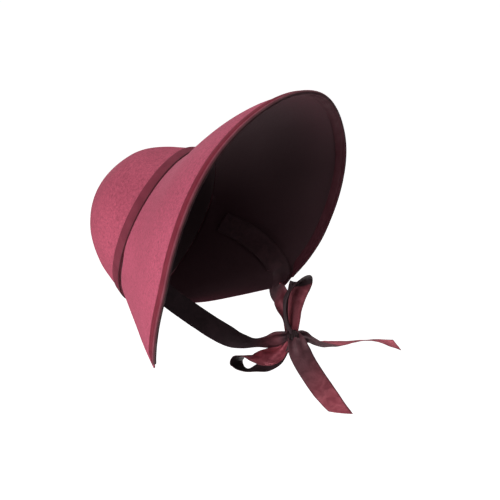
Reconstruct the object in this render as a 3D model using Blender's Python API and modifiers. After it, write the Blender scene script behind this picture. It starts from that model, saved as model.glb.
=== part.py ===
"""A felt hat with a bowl crown, a scoop brim that reaches over the face and ribbon ties in a bow.

Lengths are in metres and Z is up. The wearer faces -Y, so the wearer's right hand is at -X.
The origin is the middle of the head opening, where the crown is joined to the brim.
"""
import math

import bpy
import bmesh
from mathutils import Matrix, Vector

# Head opening and crown
HEAD_DEPTH = 0.200
HEAD_WIDTH = 0.172
OPENING_TILT = math.radians(74.0)
CROWN_DEPTH = 0.0925
CROWN_SAG = 0.0035

# Scoop brim, measured from the middle of the head opening
RIM_HALF_WIDTH = 0.176
RIM_TOP_UP = 0.1905
RIM_TOP_FORWARD = 0.143
TIP_DOWN = 0.1095
TIP_FORWARD = 0.0745
NAPE_FORWARD = -0.011
NAPE_DOWN = 0.113
BRIM_SPRING = 0.0115

# Stuff thicknesses and trims
FELT = 0.0020
RIBBON = 0.0010
GAP = 0.0004
BINDING_WIDTH = 0.0090
RIBBON_WIDTH = 0.025

# Bow under the wearer's left cheek
KNOT_SIDE = 0.060
KNOT_FORWARD = 0.131
KNOT_DOWN = 0.128
KNOT_RADIUS = 0.0085
LOOP_LENGTH = 0.065
HANGING_TAIL = 0.100
SIDE_TAIL = 0.125
TIE_REACH = 0.130
TIE_LIFT = 0.0019

# Stations round the hat: over the face edge and along the nape edge, on each side
FACE_STATIONS = 26
NAPE_STATIONS = 9
TIP_ANGLE = math.radians(126.0)

# Crown wall: share of the crown's depth, share of the head opening's half width
CROWN_WALL = (
    (0.000, 1.000),
    (0.043, 0.985),
    (0.086, 0.969),
    (0.130, 0.953),
    (0.270, 0.902),
    (0.405, 0.845),
    (0.530, 0.770),
    (0.650, 0.680),
    (0.760, 0.572),
    (0.855, 0.445),
    (0.930, 0.310),
    (0.980, 0.160),
)

# Face edge from the top to the tip: shares of the half width, of the height and of the reach
FACE_EDGE = (
    (0.000, 1.000, 1.000),
    (0.190, 0.991, 0.990),
    (0.370, 0.964, 0.965),
    (0.550, 0.917, 0.935),
    (0.690, 0.857, 0.905),
    (0.800, 0.783, 0.867),
    (0.880, 0.705, 0.828),
    (0.940, 0.620, 0.785),
    (0.980, 0.535, 0.730),
    (0.993, 0.450, 0.665),
    (0.992, 0.360, 0.570),
    (0.971, 0.270, 0.455),
    (0.927, 0.180, 0.330),
    (0.862, 0.100, 0.180),
    (0.790, 0.040, 0.030),
)

# Rounded tip and nape edge: shares of the half width, of the nape's reach and of its fall
NAPE_EDGE = (
    (0.715, 0.960, 0.150),
    (0.640, 0.840, 0.550),
    (0.480, 0.540, 1.300),
    (0.320, 0.270, 1.450),
    (0.160, 0.070, 1.250),
    (0.000, 0.000, 1.100),
)


def at(side, forward, up):
    return Vector((side, -forward, up))


ALONG = at(0.0, math.cos(OPENING_TILT), math.sin(OPENING_TILT))
CROWNWARD = at(0.0, -math.sin(OPENING_TILT), math.cos(OPENING_TILT))
SIDEWAYS = Vector((1.0, 0.0, 0.0))


def lerp(a, b, t):
    return a + (b - a) * t


def smooth_path(points, steps):
    """Even points on a curve that passes through the given ones."""
    ends = [points[0] * 2 - points[1]] + list(points) + [points[-1] * 2 - points[-2]]
    fine = []
    for k in range(1, len(ends) - 2):
        a, b, c, d = ends[k - 1:k + 3]
        for j in range(12):
            t = j / 12
            fine.append(0.5 * (2 * b + (c - a) * t + (2 * a - 5 * b + 4 * c - d) * t ** 2
                               + (3 * b - a - 3 * c + d) * t ** 3))
    fine.append(points[-1].copy())
    reach = [0.0]
    for p, q in zip(fine, fine[1:]):
        reach.append(reach[-1] + (q - p).length)
    out = []
    k = 0
    for j in range(steps + 1):
        goal = reach[-1] * j / steps
        while k < len(fine) - 2 and reach[k + 1] < goal:
            k += 1
        span = reach[k + 1] - reach[k]
        out.append(lerp(fine[k], fine[k + 1], (goal - reach[k]) / span if span else 0.0))
    return out


# Materials and the sheets that every part is made from
def cloth(name, colour, roughness, sheen):
    mat = bpy.data.materials.new(name)
    mat.use_nodes = True
    shader = mat.node_tree.nodes["Principled BSDF"]
    shader.inputs["Base Color"].default_value = (*colour, 1.0)
    shader.inputs["Roughness"].default_value = roughness
    shader.inputs["Sheen Weight"].default_value = sheen
    mat.diffuse_color = (*colour, 1.0)
    return mat


def sheet(name, grid, mat, thickness, offset, closed=False, pole=None, outward=None):
    """A cloth sheet from rows of points, thickened; outward says which side faces out."""
    bm = bmesh.new()
    rows = [[bm.verts.new(p) for p in row] for row in grid]
    for low, high in zip(rows, rows[1:]):
        count = len(low) if closed else len(low) - 1
        for i in range(count):
            j = (i + 1) % len(low)
            bm.faces.new((low[i], low[j], high[j], high[i]))
    if pole is not None:
        tip = bm.verts.new(pole)
        top = rows[-1]
        for i in range(len(top)):
            bm.faces.new((top[i], top[(i + 1) % len(top)], tip))
    bm.normal_update()
    if outward is not None:
        face = bm.faces[:][0]
        if face.normal.dot(outward(face.calc_center_median())) < 0:
            bmesh.ops.reverse_faces(bm, faces=bm.faces[:])
    mesh = bpy.data.meshes.new(name)
    bm.to_mesh(mesh)
    bm.free()
    mesh.materials.append(mat)
    for poly in mesh.polygons:
        poly.use_smooth = True
    obj = bpy.data.objects.new(name, mesh)
    hat.objects.link(obj)
    shell = obj.modifiers.new("thickness", "SOLIDIFY")
    shell.thickness = thickness
    shell.offset = offset
    return obj


for old in list(bpy.data.objects):
    bpy.data.objects.remove(old)
hat = bpy.data.collections.new("felt_scoop_hat")
bpy.context.scene.collection.children.link(hat)

felt = cloth("burgundy_felt", (0.28, 0.045, 0.085), 0.9, 0.3)
trim = cloth("dark_burgundy_trim", (0.16, 0.022, 0.045), 0.8, 0.3)
satin = cloth("burgundy_satin", (0.12, 0.012, 0.028), 0.4, 0.0)


# Crown: a tapered bowl on the oval head opening, hanging a little towards the nape
def opening_point(angle, share=1.0, depth=0.0):
    """Angle runs from the front of the opening towards the wearer's left ear."""
    return (SIDEWAYS * (HEAD_WIDTH / 2 * share * math.sin(angle))
            + ALONG * (HEAD_DEPTH / 2 * share * math.cos(angle))
            + CROWNWARD * depth)


def sag(depth_share):
    return ALONG * (CROWN_SAG * (depth_share - 2.0 * depth_share ** 3))


AROUND = 56
crown_rows = []
for depth_share, radius_share in CROWN_WALL:
    crown_rows.append([opening_point(2 * math.pi * k / AROUND, radius_share,
                                     CROWN_DEPTH * depth_share) + sag(depth_share) for k in range(AROUND)])
sheet("crown", crown_rows, felt, FELT, -1.0, closed=True, pole=CROWNWARD * CROWN_DEPTH + sag(1.0),
      outward=lambda p: p - CROWNWARD * CROWN_DEPTH * 0.2)


# Hat band: a strip laid round the foot of the crown
def wall_out(row, k):
    """The crown wall's outward direction at a station of a row."""
    here = crown_rows[row][k]
    nxt = crown_rows[row][(k + 1) % AROUND]
    prev = crown_rows[row][k - 1]
    above = crown_rows[row + 1][k]
    below = crown_rows[max(row - 1, 0)][k]
    out = (nxt - prev).cross(above - below).normalized()
    return out if out.dot(here - CROWNWARD * here.dot(CROWNWARD)) > 0 else -out


band_rows = []
for row in range(4):
    band_rows.append([crown_rows[row][k] + wall_out(row, k) * (GAP + RIBBON) for k in range(AROUND)])
sheet("hat_band", band_rows, trim, RIBBON, -1.0, closed=True,
      outward=lambda p: p - CROWNWARD * p.dot(CROWNWARD))


# Brim: straight felt lines from the head opening to the rim, with a little spring
def face_edge_point(w, h, r):
    return at(RIM_HALF_WIDTH * w, lerp(TIP_FORWARD, RIM_TOP_FORWARD, r),
              lerp(-TIP_DOWN, RIM_TOP_UP, h))


def nape_edge_point(w, r, fall):
    return at(RIM_HALF_WIDTH * w, lerp(NAPE_FORWARD, TIP_FORWARD, r),
              -lerp(TIP_DOWN, NAPE_DOWN, fall))


whole = [face_edge_point(*row) for row in FACE_EDGE] + [nape_edge_point(*row) for row in NAPE_EDGE]
mirrored = [Vector((-p.x, p.y, p.z)) for p in whole[1:]]
loop = smooth_path(list(reversed(mirrored)) + whole, 400)
half = loop[200:]
lengths = [0.0]
for p, q in zip(half, half[1:]):
    lengths.append(lengths[-1] + (q - p).length)
tip_at = min(range(len(half)), key=lambda k: (half[k] - face_edge_point(*FACE_EDGE[-1])).length)


def along_half(distance):
    for k in range(len(half) - 1):
        if lengths[k + 1] >= distance:
            return lerp(half[k], half[k + 1], (distance - lengths[k]) / (lengths[k + 1] - lengths[k]))
    return half[-1].copy()


rim_half = []
angles = []
for k in range(FACE_STATIONS + 1):
    t = k / FACE_STATIONS
    rim_half.append(along_half(lengths[tip_at] * t))
    angles.append(TIP_ANGLE * t)
for k in range(1, NAPE_STATIONS + 1):
    t = k / NAPE_STATIONS
    rim_half.append(along_half(lerp(lengths[tip_at], lengths[-1], t)))
    angles.append(lerp(TIP_ANGLE, math.pi, t))
rim_half[0].x = 0.0
rim_half[-1].x = 0.0
rim = rim_half + [Vector((-p.x, p.y, p.z)) for p in reversed(rim_half[1:-1])]
turn = angles + [2 * math.pi - a for a in reversed(angles[1:-1])]
stations = len(rim)

root_lift = -GAP
BRIM_ROWS = (0.0, 0.12, 0.30, 0.52, 0.75)


def brim_point(k, share):
    start = opening_point(turn[k], 1.0, root_lift)
    end = rim[k]
    line = end - start
    tangent = rim[(k + 1) % stations] - rim[k - 1]
    out = tangent.cross(line).normalized()
    if out.dot(start) < 0:
        out = -out
    spring = BRIM_SPRING * (0.5 + 0.5 * math.cos(turn[k]))
    return start + line * share + out * (spring * math.sin(math.pi * share ** 1.6))


def hem_share(k):
    line = rim[k] - opening_point(turn[k], 1.0, root_lift)
    return max(1.0 - BINDING_WIDTH / line.length, 0.88)


brim_rows = [[brim_point(k, s) for k in range(stations)] for s in BRIM_ROWS]
brim_rows.append([brim_point(k, hem_share(k)) for k in range(stations)])
brim_rows.append([brim_point(k, 1.0) for k in range(stations)])
sheet("brim", brim_rows, felt, FELT, -1.0, closed=True,
      outward=lambda p: p - CROWNWARD * p.dot(CROWNWARD))


# Rim binding: a folded strip over the face edge, from tip to tip
def hem_frame(k):
    inner = brim_rows[-2][k]
    edge = brim_rows[-1][k]
    over = (edge - inner).normalized()
    tangent = (brim_rows[-1][(k + 1) % stations] - brim_rows[-1][k - 1]).normalized()
    out = tangent.cross(over).normalized()
    if out.dot(edge) < 0:
        out = -out
    return inner, edge, over, out


bound = list(range(-(FACE_STATIONS), FACE_STATIONS + 1))
binding_rows = []
for k in bound:
    inner, edge, over, out = hem_frame(k % stations)
    near = GAP + RIBBON
    binding_rows.append([
        inner + out * near,
        edge + out * near,
        edge + over * (near * 0.9) + out * (near * 0.55),
        edge + over * (near * 1.15) - out * (FELT / 2),
        edge + over * (near * 0.9) - out * (FELT + near * 0.55),
        edge - out * (FELT + near),
        inner - out * (FELT + near),
    ])
sheet("rim_binding", binding_rows, trim, RIBBON, -1.0,
      outward=lambda p: p - CROWNWARD * p.dot(CROWNWARD))


# Ribbons: a smooth strip through stations of centre, lie across the ribbon, gather and cup
BOW_SIDE = at(0.574, 0.819, 0.0)
BOW_UP = at(0.359, -0.251, 0.899)
BOW_FRONT = at(-0.736, 0.516, 0.438)
KNOT = at(KNOT_SIDE, KNOT_FORWARD, -KNOT_DOWN)


def bow_lie(side, up, front):
    return BOW_SIDE * side + BOW_UP * up + BOW_FRONT * front


def bow_stations(length, rows):
    """Rows give place and lie as side, up, front from the knot, then gather and cup."""
    return [(KNOT + bow_lie(*row[:3]) * length, bow_lie(*row[3:6]).normalized(), row[6], row[7])
            for row in rows]


def on_knot(row):
    """The same station, moved straight to or from the knot until its edge lies on it."""
    centre, lie, gather, cup = row
    aim = centre - KNOT

    def clearance(share):
        nearest = 1.0
        for k in range(-8, 9):
            p = aim * share + lie * (RIBBON_WIDTH / 2 * gather * k / 8)
            stretch = Vector((p.dot(BOW_SIDE) / 0.92, p.dot(BOW_UP) / 0.95, p.dot(BOW_FRONT) / 0.90))
            nearest = min(nearest, stretch.length * 0.90 - KNOT_RADIUS * 0.90)
        return nearest - RIBBON / 2

    near, far = 0.2, 3.0
    for k in range(30):
        share = (near + far) / 2
        near, far = (share, far) if clearance(share) < GAP else (near, share)
    return (KNOT + aim * far, lie, gather, cup)


def curve(values, t):
    k = min(int(t), len(values) - 2)
    u = t - k
    a = values[k - 1] if k > 0 else values[0] * 2 - values[1]
    b, c = values[k], values[k + 1]
    d = values[k + 2] if k + 2 < len(values) else values[-1] * 2 - values[-2]
    return 0.5 * (b * 2 + (c - a) * u + (a * 2 - b * 5 + c * 4 - d) * u ** 2
                  + (b * 3 - a - c * 3 + d) * u ** 3)


def ribbon(name, marks, steps, cut=0.0):
    """Gather and cup are shares of the ribbon's width; cut slants the free end."""
    centres, lies, gathers, cups = [list(column) for column in zip(*marks)]
    last = len(marks) - 1
    fine = [last * j / 400 for j in range(401)]
    reach = [0.0]
    for a, b in zip(fine, fine[1:]):
        reach.append(reach[-1] + (curve(centres, b) - curve(centres, a)).length)
    grid = [[], [], []]
    k = 0
    for j in range(steps + 1):
        goal = reach[-1] * j / steps
        while k < 399 and reach[k + 1] < goal:
            k += 1
        t = lerp(fine[k], fine[k + 1], (goal - reach[k]) / (reach[k + 1] - reach[k]))
        here = curve(centres, t)
        step = (curve(centres, min(t + 0.02, last)) - curve(centres, max(t - 0.02, 0.0))).normalized()
        lie = curve(lies, t)
        lie = (lie - step * lie.dot(step)).normalized()
        face = step.cross(lie)
        half_width = lie * (RIBBON_WIDTH / 2 * curve(gathers, t))
        slant = step * (RIBBON_WIDTH * cut * (j / steps) ** 6)
        grid[0].append(here - half_width - slant)
        grid[1].append(here + face * (RIBBON_WIDTH * curve(cups, t)))
        grid[2].append(here + half_width + slant)
    return sheet(name, grid, satin, RIBBON, 0.0)


def felt_stations(side, marks):
    """Stations just inside the felt from place, share and lift; side is 1 or -1."""
    def on(place, share):
        k = int(place)
        p = lerp(brim_point(k, share), brim_point(k + 1, share), place - k)
        return Vector((p.x * side, p.y, p.z))

    spots = []
    for place, share, lift in marks:
        here = on(place, share)
        out = (on(place + 0.3, share) - on(place - 0.3, share)).cross(
            on(place, share + 0.03) - on(place, share - 0.03)).normalized()
        if out.dot(here) < 0:
            out = -out
        spots.append((here - out * (FELT + lift), out))
    rows = []
    for k, (here, out) in enumerate(spots):
        step = spots[min(k + 1, len(spots) - 1)][0] - spots[max(k - 1, 0)][0]
        lie = step.cross(out).normalized()
        before = rows[-1][1] if rows else Vector((0.0, 0.0, 1.0))
        rows.append((here, lie if lie.dot(before) > 0 else -lie, 1.0, 0.0))
    return rows


# Far tie: sewn inside by the wearer's left ear, down the flap, out past its corner
left_rows = felt_stations(1, (
    (21.7, 0.12, TIE_LIFT),
    (22.8, 0.34, TIE_LIFT),
    (24.2, 0.60, TIE_LIFT),
    (25.7, 0.83, TIE_LIFT),
    (27.2, 0.95, TIE_LIFT * 1.2),
)) + bow_stations(TIE_REACH, (
    (-0.110, 0.390, -0.430, 0.70, 0.40, 0.60, 1.00, 0.00),
    (-0.065, 0.290, -0.300, 0.75, 0.40, 0.50, 0.95, 0.00),
    (-0.030, 0.190, -0.170, 0.80, 0.35, 0.40, 0.75, 0.00),
    (-0.055, 0.085, -0.060, 0.85, 0.30, 0.30, 0.45, 0.00),
))
left_rows[-1] = on_knot(left_rows[-1])
ribbon("left_tie", left_rows, 30)

# Near tie: sewn inside by the wearer's right ear, sagging free to the knot
right_rows = felt_stations(-1, (
    (21.7, 0.10, TIE_LIFT * 0.7),
)) + [
    (at(-0.0620, 0.0140, -0.0450), at(0.55, -0.10, 0.80), 1.0, 0.0),
] + bow_stations(TIE_REACH, (
    (-1.000, 0.300, 0.346, 0.50, 0.80, -0.33, 1.00, 0.00),
    (-0.835, 0.188, 0.243, 0.50, 0.82, -0.30, 1.00, 0.00),
    (-0.670, 0.080, 0.138, 0.45, 0.85, -0.30, 1.00, 0.00),
    (-0.548, 0.006, 0.069, 0.35, 0.80, -0.45, 1.00, 0.00),
    (-0.435, -0.036, 0.023, 0.15, 0.55, -0.80, 1.00, 0.00),
    (-0.322, -0.052, -0.008, 0.05, 0.38, -0.90, 1.00, 0.00),
    (-0.226, -0.044, -0.023, 0.05, 0.60, -0.75, 0.95, 0.00),
    (-0.140, -0.018, -0.023, 0.10, 0.85, -0.45, 0.82, 0.00),
    (-0.078, 0.010, -0.030, -0.32, 0.81, -0.49, 0.50, 0.00),
))
right_rows[-1] = on_knot(right_rows[-1])
ribbon("right_tie", right_rows, 34)

# Bow: two loops and two free tails
upper_rows = bow_stations(LOOP_LENGTH, (
    (-0.045, 0.140, 0.100, 1.00, 0.05, -0.10, 0.42, 0.00),
    (-0.025, 0.295, 0.130, 1.00, 0.05, -0.20, 0.60, 0.00),
    (0.005, 0.470, 0.150, 0.95, 0.10, -0.30, 0.75, 0.00),
    (0.045, 0.645, 0.155, 0.92, 0.20, -0.35, 0.86, 0.00),
    (0.090, 0.810, 0.150, 0.88, 0.26, -0.38, 0.96, 0.00),
    (0.120, 0.890, 0.125, 0.86, 0.28, -0.40, 1.00, 0.00),
    (0.140, 1.010, 0.050, 0.86, 0.24, -0.42, 1.00, 0.00),
    (0.155, 1.035, -0.060, 0.88, 0.15, -0.40, 1.00, 0.00),
    (0.140, 0.970, -0.165, 0.90, 0.05, -0.38, 1.00, 0.00),
    (0.090, 0.800, -0.200, 0.92, 0.00, -0.36, 1.00, 0.00),
    (0.052, 0.630, -0.170, 0.95, 0.00, -0.25, 0.88, 0.00),
    (0.026, 0.455, -0.100, 1.00, 0.00, -0.15, 0.76, 0.00),
    (0.000, 0.300, -0.045, 1.00, 0.00, -0.10, 0.60, 0.00),
    (-0.015, 0.150, -0.012, 1.00, 0.00, 0.00, 0.42, 0.00),
))
ribbon("upper_loop", [on_knot(upper_rows[0])] + upper_rows[1:-1] + [on_knot(upper_rows[-1])], 34)

lower_rows = bow_stations(LOOP_LENGTH, (
    (-0.112, -0.148, -0.020, 0.50, -0.66, 0.56, 0.42, 0.00),
    (-0.240, -0.270, -0.020, 0.30, -0.76, 0.56, 0.80, 0.00),
    (-0.400, -0.350, 0.050, 0.25, -0.76, 0.60, 0.98, 0.00),
    (-0.545, -0.378, 0.110, 0.12, -0.64, 0.75, 1.00, 0.00),
    (-0.700, -0.368, 0.130, 0.00, -0.36, 0.93, 1.00, 0.00),
    (-0.830, -0.328, 0.100, -0.22, -0.05, 0.97, 1.00, 0.00),
    (-0.925, -0.338, 0.045, -0.45, 0.08, 0.88, 1.00, 0.00),
    (-0.972, -0.405, 0.000, -0.55, 0.05, 0.83, 1.00, 0.00),
    (-0.972, -0.475, -0.020, -0.56, 0.00, 0.83, 1.00, 0.00),
    (-0.915, -0.545, 0.000, -0.46, -0.06, 0.89, 1.00, 0.00),
    (-0.800, -0.575, 0.030, -0.20, -0.12, 0.97, 1.00, 0.00),
    (-0.665, -0.560, 0.025, -0.03, -0.26, 0.97, 1.00, 0.00),
    (-0.490, -0.508, -0.020, 0.18, -0.50, 0.86, 1.00, 0.00),
    (-0.325, -0.420, -0.075, 0.30, -0.65, 0.72, 0.86, 0.00),
    (-0.195, -0.315, -0.095, 0.45, -0.62, 0.64, 0.65, 0.00),
    (-0.122, -0.205, -0.085, 0.32, -0.60, 0.72, 0.44, 0.00),
))
ribbon("lower_loop", [on_knot(lower_rows[0])] + lower_rows[1:-1] + [on_knot(lower_rows[-1])], 38)

hanging_rows = bow_stations(HANGING_TAIL, (
    (0.030, 0.040, 0.105, 1.00, 0.10, 0.00, 0.55, 0.02),
    (0.042, -0.045, 0.100, 1.00, 0.10, 0.00, 0.78, 0.03),
    (0.075, -0.163, 0.080, 0.95, 0.25, 0.00, 0.98, 0.04),
    (0.138, -0.294, 0.040, 0.87, 0.45, 0.10, 1.00, 0.04),
    (0.240, -0.458, -0.040, 0.82, 0.55, 0.15, 1.00, 0.04),
    (0.338, -0.600, -0.120, 0.78, 0.60, 0.25, 1.00, 0.04),
    (0.440, -0.730, -0.210, 0.68, 0.54, 0.50, 1.00, 0.04),
    (0.545, -0.850, -0.300, 0.60, 0.45, 0.66, 1.00, 0.04),
))
ribbon("lower_tail", [on_knot(hanging_rows[0])] + hanging_rows[1:], 22, cut=0.28)

side_rows = bow_stations(SIDE_TAIL, (
    (0.075, 0.014, -0.035, 0.20, -0.90, 0.35, 0.48, 0.00),
    (0.122, 0.006, -0.065, 0.30, -0.75, 0.60, 0.75, -0.02),
    (0.185, -0.030, -0.100, 0.10, -0.40, 0.92, 0.92, -0.04),
    (0.260, -0.063, -0.150, 0.05, -0.23, 0.97, 1.00, -0.05),
    (0.340, -0.067, -0.195, 0.00, -0.22, 0.97, 1.00, -0.04),
    (0.410, -0.062, -0.240, 0.00, -0.20, 0.98, 1.00, -0.02),
    (0.520, -0.044, -0.310, 0.00, -0.10, 1.00, 1.00, 0.00),
    (0.635, -0.033, -0.375, 0.00, -0.02, 1.00, 1.00, 0.00),
    (0.745, -0.040, -0.435, 0.05, -0.05, 1.00, 1.00, 0.00),
    (0.860, -0.064, -0.500, 0.05, -0.18, 0.98, 1.00, 0.00),
    (0.950, -0.084, -0.550, 0.10, -0.30, 0.95, 1.00, 0.00),
))
ribbon("side_tail", [on_knot(side_rows[0])] + side_rows[1:], 26, cut=0.10)

# Knot: a small plump wrap
bm = bmesh.new()
bmesh.ops.create_uvsphere(bm, u_segments=24, v_segments=14, radius=KNOT_RADIUS)
for v in bm.verts:
    waist = 1.0 - 0.10 * math.cos(math.pi * v.co.z / KNOT_RADIUS / 2)
    v.co = KNOT + bow_lie(v.co.x * waist, v.co.z * 0.95, v.co.y * -0.9)
mesh = bpy.data.meshes.new("bow_knot")
bm.to_mesh(mesh)
bm.free()
mesh.materials.append(satin)
for poly in mesh.polygons:
    poly.use_smooth = True
hat.objects.link(bpy.data.objects.new("bow_knot", mesh))
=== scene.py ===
# %% [markdown]
# # A felt scoop hat with ribbon ties
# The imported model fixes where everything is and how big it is. This lesson dresses it. Each plain
# solid is replaced by a finer piece of felt or ribbon that is laid out by the same rules, and then
# the pieces get their finishes, some soft light and a camera.

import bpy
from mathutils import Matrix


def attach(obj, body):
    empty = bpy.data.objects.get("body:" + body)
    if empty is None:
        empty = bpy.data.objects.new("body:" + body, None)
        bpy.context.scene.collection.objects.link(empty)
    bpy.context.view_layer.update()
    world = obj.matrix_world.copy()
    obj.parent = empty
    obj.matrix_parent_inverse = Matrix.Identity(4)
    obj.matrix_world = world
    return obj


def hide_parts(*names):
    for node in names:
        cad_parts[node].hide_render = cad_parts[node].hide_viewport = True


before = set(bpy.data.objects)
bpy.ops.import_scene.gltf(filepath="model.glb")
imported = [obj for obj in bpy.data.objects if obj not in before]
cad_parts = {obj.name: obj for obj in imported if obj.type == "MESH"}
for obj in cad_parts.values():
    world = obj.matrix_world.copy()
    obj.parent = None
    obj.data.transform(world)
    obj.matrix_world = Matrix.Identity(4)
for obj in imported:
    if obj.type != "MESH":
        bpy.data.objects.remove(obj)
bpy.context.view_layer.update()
print("nodes to dress:", ", ".join(sorted(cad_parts)))

# %% [markdown]
# ## Sizes
# A hat maker works from the head opening outwards, so every length here hangs on the opening, the
# crown's depth and how far the brim reaches. The tables hold shares of these lengths, so the whole
# hat follows when one of them changes.

# %% Sizes of the hat
import math

import bmesh
import bpy
from mathutils import Vector, noise

HEAD_DEPTH = 0.200
HEAD_WIDTH = 0.172
OPENING_TILT = math.radians(74.0)
CROWN_DEPTH = 0.0925
CROWN_SAG = 0.0035
RIM_HALF_WIDTH = 0.176
RIM_TOP_UP = 0.1905
RIM_TOP_FORWARD = 0.143
TIP_DOWN = 0.1095
TIP_FORWARD = 0.0745
NAPE_FORWARD = -0.011
NAPE_DOWN = 0.113
BRIM_SPRING = 0.0092
FELT = 0.0020
GAP = 0.0004
RIBBON_WIDTH = 0.025
TIP_ANGLE = math.radians(126.0)
print("head opening", HEAD_DEPTH, "by", HEAD_WIDTH, "m")

# %% [markdown]
# ## Directions and even steps
# The opening leans forward, so three directions are handy: along the opening towards its front,
# out of it into the crown, and sideways. `smooth_path` draws one fair curve through a few given
# points and steps along it evenly, which is how a maker would trace a paper pattern.


# %% Directions and curves
def at(side, forward, up):
    return Vector((side, -forward, up))


ALONG = at(0.0, math.cos(OPENING_TILT), math.sin(OPENING_TILT))
CROWNWARD = at(0.0, -math.sin(OPENING_TILT), math.cos(OPENING_TILT))
SIDEWAYS = Vector((1.0, 0.0, 0.0))


def lerp(a, b, t):
    return a + (b - a) * t


def curve(values, t):
    """A fair curve through the values, at t counted in values."""
    k = min(int(t), len(values) - 2)
    u = t - k
    a = values[k - 1] if k > 0 else values[0] * 2 - values[1]
    b, c = values[k], values[k + 1]
    d = values[k + 2] if k + 2 < len(values) else values[-1] * 2 - values[-2]
    return 0.5 * (b * 2 + (c - a) * u + (a * 2 - b * 5 + c * 4 - d) * u ** 2
                  + (b * 3 - a - c * 3 + d) * u ** 3)


def even_steps(values, steps, fineness=12):
    """Places on the curve through the values, spaced evenly along it."""
    last = len(values) - 1
    ticks = [last * j / (last * fineness) for j in range(last * fineness + 1)]
    reach = [0.0]
    for a, b in zip(ticks, ticks[1:]):
        reach.append(reach[-1] + (curve(values, b) - curve(values, a)).length)
    places = []
    k = 0
    for j in range(steps + 1):
        goal = reach[-1] * j / steps
        while k < len(ticks) - 2 and reach[k + 1] < goal:
            k += 1
        span = reach[k + 1] - reach[k]
        places.append(lerp(ticks[k], ticks[k + 1], (goal - reach[k]) / span if span else 0.0))
    return places, reach[-1]


def smooth_path(points, steps):
    places, _ = even_steps(points, steps)
    return [curve(points, t) for t in places]


print("the opening leans forward by", round(90 - math.degrees(OPENING_TILT)), "degrees")

# %% [markdown]
# ## One way to make every sheet
# Felt and ribbon are both thin sheets with a front, a back and soft edges. A Solidify modifier
# would thicken a surface, but its edges stay square. Here the front and back are laid down point
# by point, and one more row of points rounds each edge. Each point remembers how far along and
# across the sheet it is, and how much it belongs to the inner side, so that a finish can follow
# the cloth. On some lengths that inner mark carries painted shade and painted light as well.


# %% Sheet maker
def facing(grid, j, i, ring):
    """The direction that the sheet faces at one point."""
    last = len(grid) - 1
    ahead = grid[(j + 1) % len(grid)] if ring else grid[min(j + 1, last)]
    behind = grid[j - 1] if ring or j > 0 else grid[0]
    row = grid[j]
    return (ahead[i] - behind[i]).cross(row[min(i + 1, len(row) - 1)] - row[max(i - 1, 0)]).normalized()


def mesh_object(name, bm, finish):
    bmesh.ops.recalc_face_normals(bm, faces=bm.faces[:])
    mesh = bpy.data.meshes.new(name)
    bm.to_mesh(mesh)
    bm.free()
    mesh.materials.append(finish)
    for face in mesh.polygons:
        face.use_smooth = True
    obj = bpy.data.objects.new(name, mesh)
    bpy.context.scene.collection.objects.link(obj)
    print(name, len(mesh.polygons), "faces")
    return obj


def thick_sheet(name, grid, thickness, finish, ring=False, pole=None, front_side=1.0, dull_and_shade=None):
    """A sheet from rows of points at the middle of its thickness; pole closes it at one point.

    The last argument gives the inner mark of front and back, from the shares along and across;
    on some lengths this mark carries painted shade and painted light.
    """
    bm = bmesh.new()
    layers = [bm.verts.layers.float.new(word) for word in ("along", "across", "inner")]

    def point(place, *values):
        v = bm.verts.new(place)
        for layer, value in zip(layers, values):
            v[layer] = value
        return v

    count = len(grid[0])
    loops = []
    along = 0.0
    for j, row in enumerate(grid):
        if j:
            along += (row[count // 2] - grid[j - 1][count // 2]).length
        over = [0.0]
        for a, b in zip(row, row[1:]):
            over.append(over[-1] + (b - a).length)
        across = [value - over[-1] / 2 for value in over]
        out = [facing(grid, j, i, ring) * (front_side * thickness / 2) for i in range(count)]
        shares = [(j / (len(grid) - 1), 2 * i / (count - 1) - 1) for i in range(count)]
        marks = [dull_and_shade(*place) if dull_and_shade else (0.0, 1.0) for place in shares]
        front = [point(row[i] + out[i], along, across[i], marks[i][0]) for i in range(count)]
        back = [point(row[i] - out[i], along, across[i], marks[i][1]) for i in reversed(range(count))]
        start = row[0] + (row[0] - row[1]).normalized() * (thickness / 2)
        turn_in = [point(start, along, across[0], 0.5)]
        end = row[-1] + (row[-1] - row[-2]).normalized() * (thickness / 2)
        turn_over = [] if pole else [point(end, along, across[-1], 0.5)]
        loops.append((front, turn_over, back, turn_in))

    pairs = list(zip(loops, loops[1:]))
    if ring:
        pairs.append((loops[-1], loops[0]))
    for one, two in pairs:
        if pole:
            chains = ((one[2] + one[3] + one[0], two[2] + two[3] + two[0], False),)
        else:
            chains = ((sum(one, []), sum(two, []), True),)
        for low, high, closed in chains:
            for i in range(len(low) if closed else len(low) - 1):
                k = (i + 1) % len(low)
                bm.faces.new((low[i], low[k], high[k], high[i]))
    if pole:
        for side, share, flag in ((0, 1.0, 0.0), (2, -1.0, 1.0)):
            tip = point(pole[0] + pole[1] * (thickness / 2 * share), 0.0, 0.0, flag)
            edge = [loop[side][-1 if side == 0 else 0] for loop in loops]
            for a, b in zip(edge, edge[1:] + edge[:1]):
                bm.faces.new((a, b, tip))
    if not ring:
        for front, turn_over, back, turn_in in (loops[0], loops[-1]):
            back = list(reversed(back))
            for i in range(count - 1):
                bm.faces.new((front[i], front[i + 1], back[i + 1], back[i]))
            bm.faces.new((front[0], back[0], turn_in[0]))
            bm.faces.new((front[-1], back[-1], turn_over[0]))
    return mesh_object(name, bm, finish)


# %% [markdown]
# ## Small helpers for cloth
# Steamed felt and ribbon are never quite even, so `ripple` gives a soft unevenness from noise,
# which is the same on every run. `fade` is the soft step that most shapes and marks here grow and
# die by. `sheet_area` measures a sheet.


# %% Helpers for cloth
def ripple(place, size, height):
    return noise.noise(place / size) * height


def fade(value, zero, one):
    """A soft step from 0 to 1 as the value goes from one place to the other."""
    t = min(max((value - zero) / (one - zero), 0.0), 1.0)
    return t * t * (3 - 2 * t)


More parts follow.
